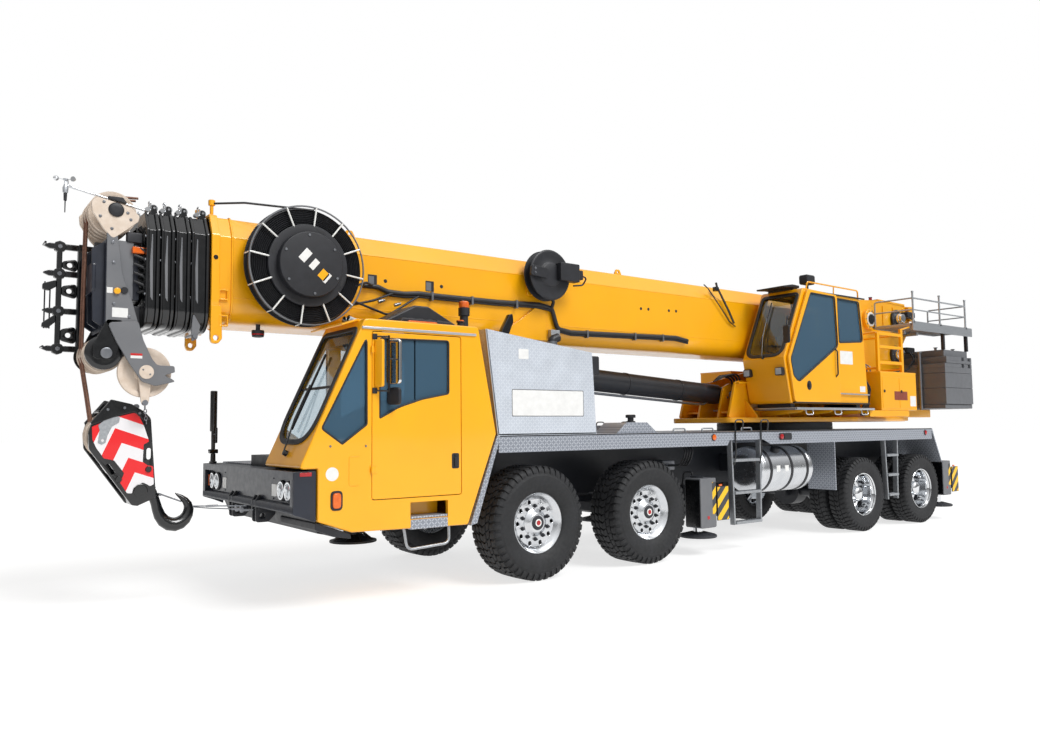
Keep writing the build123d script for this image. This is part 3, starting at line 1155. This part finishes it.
SECTION_REAR = -4500
SECTION_STAGGER = 120
COLLAR_GAP = 8
COLLAR_TAPER = 4
COLLAR_RIB = 45
COLLAR_SHOULDER = (110, 170)
COLLAR_BELLY_RADIUS = 190
COLLAR_SLEEVE = 14
GUIDE_EYE_Y = (190, 240)
GUIDE_EYE_Z = (20, 90)
GUIDE_EYE_LENGTH = 60

for number, collar_front in enumerate(COLLARS, start=2):
    inset = SECTION_STEP * (number - 1)
    collar_rear = (BOOM_FRONT, *COLLARS)[number - 2] + COLLAR_GAP
    section_rear = SECTION_REAR + SECTION_STAGGER * number
    with BuildPart() as section:
        boom_tube(inset, section_rear, collar_front)
        taper = COLLAR_TAPER * number
        collar_low, collar_high = COLLAR_BOTTOM + taper, COLLAR_TOP - taper
        in_from_side, down_from_top = COLLAR_SHOULDER
        with BuildSketch(Plane.YZ.offset(collar_rear)) as collar:
            half = BOOM_HALF_WIDTH - taper
            Polygon(
                (-half, collar_low), (half, collar_low), (half, collar_high - down_from_top), (half - in_from_side, collar_high),
                (-half + in_from_side, collar_high), (-half, collar_high - down_from_top), align=None,
            )
            fillet(collar.vertices().sort_by(Axis.Y)[:2], COLLAR_BELLY_RADIUS)
        extrude(collar.sketch, amount=COLLAR_RIB)
        sleeve = boom_outline(inset - COLLAR_SLEEVE, Plane.YZ.offset(collar_rear))
        extrude(sleeve, amount=collar_front - collar_rear)
        for side in SIDES.values():
            eye = (collar_high - GUIDE_EYE_Z[0], collar_high + GUIDE_EYE_Z[1])
            block((collar_rear, collar_rear + GUIDE_EYE_LENGTH), sided(*GUIDE_EYE_Y, side), eye)
        boom_tube(inset + SECTION_WALL, section_rear - 20, collar_front, mode=Mode.SUBTRACT)
        wear_pads(inset, collar_front)
    save(section, f"boom_section_{number}")


# Boom head: the last section, its two head plates, brackets and the side sheave arm
HEAD_INSET = SECTION_STEP * 5
HEAD_SECTION_X = (SECTION_REAR + SECTION_STAGGER * 6, 6260)
NOSE_BLOCK_X = (6240, 6500)
NOSE_BLOCK_HALF = 245
NOSE_BLOCK_Z = (2650, 3150)
HEAD_PLATE_Y = (280, 310)
HEAD_PLATE = (
    (6515, 3230), (6440, 3230), (6415, 3054), (6385, 2837), (6310, 2638), (6262, 2465),
    (6235, 2330), (6420, 2310), (6510, 2448),
)
HEAD_EARS = ((6500, 3230), (6540, 3350), (6560, 3440), (6450, 3470), (6330, 3400), (6380, 3200))
HEAD_CHEEK = ((6380, 2470), (6500, 2470), (6600, 2250), (6600, 2130), (6440, 2130), (6380, 2300))
NOSE_PLATE_X = (6490, 6620)
NOSE_PLATE_Z = (2381, 3151)
ARM_PLATE = (
    (6262, 2465), (6218, 2291), (6147, 2132), (6104, 2089), (5964, 2094), (5954, 1959),
    (6115, 1926), (6225, 1953), (6267, 2010), (6420, 2309), (6500, 2440),
)
ARM_THICK = 25
ARM_SPREAD = 105
ARM_TIE_X = (6380, 6420)
ARM_TIE_Z = (2320, 2450)
JIB_ARMS_Z = (2230, 2560, 2890, 3130)
JIB_ARM_X = (6600, 6920)
JIB_ARM_Y = (-330, -290)
JIB_ARM_HEIGHT = 55
JIB_POSTS = (
    # low x, high x, low y, high y
    (6600, 6640, -330, -250),
    (6760, 6800, -345, -290),
)
SHEAVE_Y = (-150, -50, 50, 150)
SHEAVE_HALF = 20
SHEAVE_GROOVE = 22
SHEAVE_PIN_RADIUS = 40
SHEAVE_BORE_GAP = 0.3
UPPER_SHEAVE = (6450, 3400, 190)
LOWER_SHEAVE = (6500, 2185, 150)
NOSE_SHEAVE = (6190, 2035, 215)

with BuildPart() as boom_head:
    boom_tube(HEAD_INSET, *HEAD_SECTION_X)
    bore_rear, bore_front = HEAD_SECTION_X[0] - 20, NOSE_BLOCK_X[0]
    boom_tube(HEAD_INSET + SECTION_WALL, bore_rear, bore_front, mode=Mode.SUBTRACT)
    block(NOSE_BLOCK_X, around(0, NOSE_BLOCK_HALF), NOSE_BLOCK_Z)
    for side in SIDES.values():
        for outline in (HEAD_PLATE, HEAD_EARS, HEAD_CHEEK):
            side_prism(outline, sided(*HEAD_PLATE_Y, side))
        web_y = sided(NOSE_BLOCK_HALF - 5, HEAD_PLATE_Y[0], side)
        block((HEAD_SECTION_X[1] + 40, NOSE_BLOCK_X[1]), web_y, NOSE_BLOCK_Z)
    block(NOSE_PLATE_X, around(0, HEAD_PLATE_Y[1] - 10), NOSE_PLATE_Z)
    # Side arm with the nose sheave, on the left plate's outer face and its twin
    arm_inner = HEAD_PLATE_Y[0] - ARM_SPREAD
    side_prism(ARM_PLATE, (HEAD_PLATE_Y[1], HEAD_PLATE_Y[1] + ARM_THICK))
    side_prism(ARM_PLATE, (arm_inner, arm_inner + ARM_THICK))
    block(ARM_TIE_X, (arm_inner + ARM_THICK, HEAD_PLATE_Y[0]), ARM_TIE_Z)
    # Jib brackets on the right
    for z in JIB_ARMS_Z:
        block(JIB_ARM_X, JIB_ARM_Y, (z, z + JIB_ARM_HEIGHT))
    for low_x, high_x, low_y, high_y in JIB_POSTS:
        block((low_x, high_x), (low_y, high_y), (JIB_ARMS_Z[0], JIB_ARMS_Z[-1] + JIB_ARM_HEIGHT))
    for x, z, radius in (UPPER_SHEAVE, LOWER_SHEAVE):
        round_y(x, z, SHEAVE_PIN_RADIUS, around(0, HEAD_PLATE_Y[1]))
    round_y(*NOSE_SHEAVE[:2], SHEAVE_PIN_RADIUS, (arm_inner, HEAD_PLATE_Y[1] + ARM_THICK + 15))
save(boom_head, "boom_head")

with BuildPart() as head_sheaves:
    bore = SHEAVE_PIN_RADIUS + SHEAVE_BORE_GAP
    nose_y = (arm_inner + ARM_THICK + HEAD_PLATE_Y[1]) / 2
    places = [(*sheave, y) for sheave in (UPPER_SHEAVE, LOWER_SHEAVE) for y in SHEAVE_Y]
    for x, z, radius, y in (*places, (*NOSE_SHEAVE, nose_y)):
        low, high = around(y, SHEAVE_HALF)
        spin_y(x, z, ((low, bore), (low, radius), (y, radius - SHEAVE_GROOVE), (high, radius), (high, bore)))
save(head_sheaves, "head_sheaves")


# Cable reels on the boom's left side: wound hose between a back disc and a spoked front ring
REELS = (
    # x, z, radius, inner y, outer y
    (4880, 3045, 560, 500, 640),
    (1980, 3265, 290, 470, 600),
)
REEL_DISC = 14
REEL_RING = 0.06
REEL_SPOKES = 12
SPOKE_WIDTH = 12
HOSE_PACK = 0.92
HOSE_INSET = 20
REEL_HUB = 0.42
HUB_STANDS = 30
REEL_SHAFT_RADIUS = 120

with BuildPart() as hose_reels:
    for x, z, radius, near, far in REELS:
        round_y(x, z, radius, (near, near + REEL_DISC))
        round_y(x, z, radius * HOSE_PACK, (near, far - HOSE_INSET))
        rim_bore = radius * (1 - REEL_RING)
        spin_y(x, z, ((far - REEL_DISC, rim_bore), (far - REEL_DISC, radius), (far, radius), (far, rim_bore)))
        with BuildSketch(Plane.XZ.offset(-far)) as spokes:
            with Locations((x, z)):
                with PolarLocations(radius / 2, REEL_SPOKES):
                    Rectangle(radius - SPOKE_WIDTH, SPOKE_WIDTH)
        extrude(spokes.sketch, amount=HOSE_INSET)
        round_y(x, z, REEL_SHAFT_RADIUS, (BOOM_HALF_WIDTH, near))
        round_y(x, z, radius * REEL_HUB, (far - HOSE_INSET, far + HUB_STANDS))
save(hose_reels, "hose_reels")


# Hook block: two cheeks round the sheaves, and the hook below
BLOCK_SIDE = ((6423, 1803), (6570, 1513), (6564, 1377), (6197, 895), (6024, 1002), (6089, 1633))
BLOCK_CHEEKS_Y = (-150, 110)
BLOCK_CHEEK = 40
BLOCK_SHEAVE = (6400, 1500, 200)
BLOCK_SHEAVES_Y = (-60, 0, 60)
BLOCK_SHEAVE_HALF = 18
BLOCK_PIN_RADIUS = 45
BLOCK_FOOT = ((6197, 895), (6024, 1002), (6100, 1150), (6300, 1040))
HOOK_LINE = ((6030, 1010), (6060, 900), (6040, 760), (5950, 670), (5830, 690), (5730, 790), (5700, 880))
HOOK_RADIUS = 42
SHANK = ((6110, 1050), (6030, 960), 55)
ROPE_RADIUS = 11
ROPE_TILT = radians(9.5)
FALL_LENGTH = 560
ROPE_SEAT = 17.4
fall_seat = LOWER_SHEAVE[2] - SHEAVE_GROOVE + ROPE_SEAT
fall_head = (LOWER_SHEAVE[0] + fall_seat * cos(ROPE_TILT), LOWER_SHEAVE[1] - fall_seat * sin(ROPE_TILT))
fall_foot = (fall_head[0] - FALL_LENGTH * sin(ROPE_TILT), fall_head[1] - FALL_LENGTH * cos(ROPE_TILT))

with BuildPart() as hook_block:
    for y in BLOCK_CHEEKS_Y:
        side_prism(BLOCK_SIDE, (y, y + BLOCK_CHEEK))
    across = (BLOCK_CHEEKS_Y[0], BLOCK_CHEEKS_Y[1] + BLOCK_CHEEK)
    for y in BLOCK_SHEAVES_Y:
        round_y(*BLOCK_SHEAVE, around(y, BLOCK_SHEAVE_HALF))
    round_y(*BLOCK_SHEAVE[:2], BLOCK_PIN_RADIUS, across)
    side_prism(BLOCK_FOOT, across)
    bent_bar([(x, 0, z) for x, z in HOOK_LINE], HOOK_RADIUS)
    with Locations((HOOK_LINE[-1][0], 0, HOOK_LINE[-1][1])):
        Sphere(HOOK_RADIUS)
    shank_top, shank_foot, shank_radius = SHANK
    bar((shank_top[0], 0, shank_top[1]), (shank_foot[0], 0, shank_foot[1]), shank_radius)
    # Rope falls up to the grooves of the head's lower sheaves, which they meet at a tangent
    for y in SHEAVE_Y[1:3]:
        bar((fall_foot[0], y, fall_foot[1]), (fall_head[0], y, fall_head[1]), ROPE_RADIUS)
save(hook_block, "hook_block")


# Lift cylinder: its barrel turns on the turntable's foot, its rod slides out to the boom
foot_to_eye = Vector(CYLINDER_EYE_X - CYLINDER_FOOT_X, 0, CYLINDER_EYE_Z - CYLINDER_FOOT_Z)
along = foot_to_eye.normalized()
foot_point = Vector(CYLINDER_FOOT_X, 0, CYLINDER_FOOT_Z)
BARREL_LENGTH = foot_to_eye.length - 260
BARREL_START = 90
GLAND = (BARREL_RADIUS + 22, 160)
FOOT_EYE = (115, 145)
BARREL_BORE = (ROD_RADIUS + 12, 200)
GLAND_BORE = 170
ROD_START = 230
ROD_END = 60
ROD_EYE_RADIUS = 100


def along_cylinder(distance):
    """A plane square to the cylinder, at a distance from its foot's pin."""
    return Plane(origin=foot_point + along * distance, x_dir=(0, 1, 0), z_dir=along)


def cylinder_run(radius, low, high, mode=Mode.ADD):
    """A round stretch of the cylinder between two distances from its foot's pin."""
    with BuildSketch(along_cylinder(low)) as disc:
        Circle(radius)
    extrude(disc.sketch, amount=high - low, mode=mode)


with BuildPart() as lift_barrel:
    cylinder_run(BARREL_RADIUS, BARREL_START, BARREL_LENGTH)
    cylinder_run(GLAND[0], BARREL_LENGTH - GLAND[1], BARREL_LENGTH)
    round_y(CYLINDER_FOOT_X, CYLINDER_FOOT_Z, FOOT_EYE[0], around(0, FOOT_EYE[1]))
    cylinder_run(BARREL_BORE[0], BARREL_BORE[1], BARREL_LENGTH - GLAND[1] - CUT, mode=Mode.SUBTRACT)
    cylinder_run(ROD_RADIUS + PIN_CLEARANCE, BARREL_LENGTH - GLAND_BORE, BARREL_LENGTH + CUT, mode=Mode.SUBTRACT)
    pin_bore = around(0, FOOT_EYE[1] + 5)
    round_y(CYLINDER_FOOT_X, CYLINDER_FOOT_Z, CYLINDER_PIN_RADIUS + PIN_CLEARANCE, pin_bore, mode=Mode.SUBTRACT)
save(lift_barrel, "lift_barrel")

with BuildPart() as lift_rod:
    cylinder_run(ROD_RADIUS, ROD_START, foot_to_eye.length - ROD_END)
    round_y(CYLINDER_EYE_X, CYLINDER_EYE_Z, ROD_EYE_RADIUS, around(0, LUFF_EYE_HALF))
    eye_bore = around(0, LUFF_EYE_HALF + CUT)
    round_y(CYLINDER_EYE_X, CYLINDER_EYE_Z, LUFF_PIN_RADIUS + PIN_CLEARANCE, eye_bore, mode=Mode.SUBTRACT)
save(lift_rod, "lift_rod")

# How the lift cylinder follows the boom, and where its pins stand
pivot = Vector(BOOM_PIVOT_X, 0, BOOM_PIVOT_Z)
eye = Vector(CYLINDER_EYE_X, 0, CYLINDER_EYE_Z)
LUFF_TOP = radians(80)
rest_angle = atan2(eye.Z - pivot.Z, eye.X - pivot.X)
reach = (eye - pivot).length
raised = pivot + Vector(reach * cos(rest_angle + LUFF_TOP), 0, reach * sin(rest_angle + LUFF_TOP))
from_foot = raised - foot_point
turn = atan2(from_foot.Z, from_foot.X) - atan2(foot_to_eye.Z, foot_to_eye.X)
print("cylinder axis", tuple(along), "stroke", from_foot.length - foot_to_eye.length, "turn", degrees(turn))
print("ratios", turn / LUFF_TOP, (from_foot.length - foot_to_eye.length) / 1000 / LUFF_TOP)
